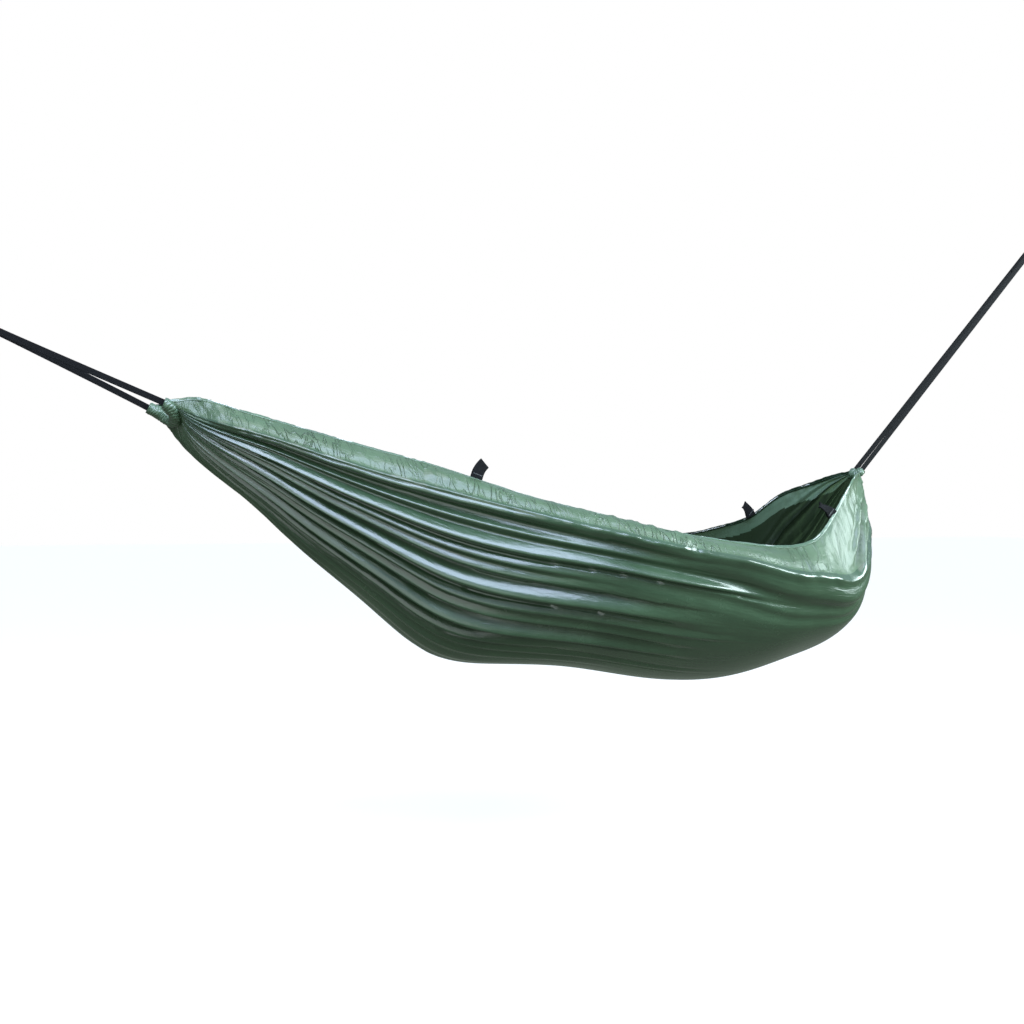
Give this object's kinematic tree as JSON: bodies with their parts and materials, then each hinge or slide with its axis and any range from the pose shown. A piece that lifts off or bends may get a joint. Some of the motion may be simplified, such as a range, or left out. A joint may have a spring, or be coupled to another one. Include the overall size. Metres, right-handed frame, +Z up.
{
  "type": "camping hammock",
  "caption": "Gathered-end camping hammock of coated fabric with turned-in lips, edge loops, and webbing slings with sprung-gate carabiners.",
  "frame": {"origin": "where the left carabiner bears on its anchor, inside its top bend", "axes": "+X from the left end to the right end, +Y away from the viewer to the far edge, +Z up; the hammock is mirrored about Y = 0"},
  "size_m": [3.9365, 0.7704, 1.6855],
  "materials": {
    "bed_fabric": "glossy coated nylon, dark green",
    "hem_fabric": "folded and sewn edge, green",
    "black_webbing": "flat woven webbing",
    "black_thread": "bonded polyester thread",
    "white_elastic": "covered elastic cord",
    "dark_aluminium": "black anodised, satin",
    "bare_steel": "bright"
  },
  "bodies": {
    "carabiners": {"left_carabiner_body": "dark_aluminium", "left_gate_rivet": "bare_steel", "right_carabiner_body": "dark_aluminium", "right_gate_rivet": "bare_steel"},
    "hammock": {"bed_panel": "bed_fabric", "left_end_channel": "bed_fabric", "left_sling": "black_webbing", "left_sling_stitching": "black_thread", "right_end_channel": "bed_fabric", "right_sling": "black_webbing", "right_sling_stitching": "black_thread", "near_edge_binding": "hem_fabric", "near_edge_elastic": "white_elastic", "near_left_edge_loop": "black_webbing", "near_right_edge_loop": "black_webbing", "far_edge_binding": "hem_fabric", "far_edge_elastic": "white_elastic", "far_left_edge_loop": "black_webbing", "far_right_edge_loop": "black_webbing", "loop_bartacks": "black_thread"},
    "left_gate": {"left_gate": "dark_aluminium", "left_latch_pin": "bare_steel", "left_gate_plunger": "bare_steel", "left_gate_spring": "bare_steel"},
    "right_gate": {"right_gate": "dark_aluminium", "right_latch_pin": "bare_steel", "right_gate_plunger": "bare_steel", "right_gate_spring": "bare_steel"}
  },
  "joints": [
    {"name": "swing", "type": "hinge", "parent": "carabiners", "child": "hammock", "pos_m": [0.06258, 0, -0.02786], "axis": [0.9913, 0, 0.1313], "range_deg": [-20, 20]},
    {"name": "left_gate_hinge", "type": "hinge", "parent": "carabiners", "child": "left_gate", "pos_m": [0.04752, 0, -0.00145], "axis": [0, -1, 0], "range_deg": [0, 24], "stiffness_Nm_per_rad": 0.06, "springref_deg": -20.05},
    {"name": "right_gate_hinge", "type": "hinge", "parent": "carabiners", "child": "right_gate", "pos_m": [3.89829, 0, 0.48209], "axis": [0, -1, 0], "range_deg": [0, 24], "stiffness_Nm_per_rad": 0.06, "springref_deg": -20.05}
  ]
}
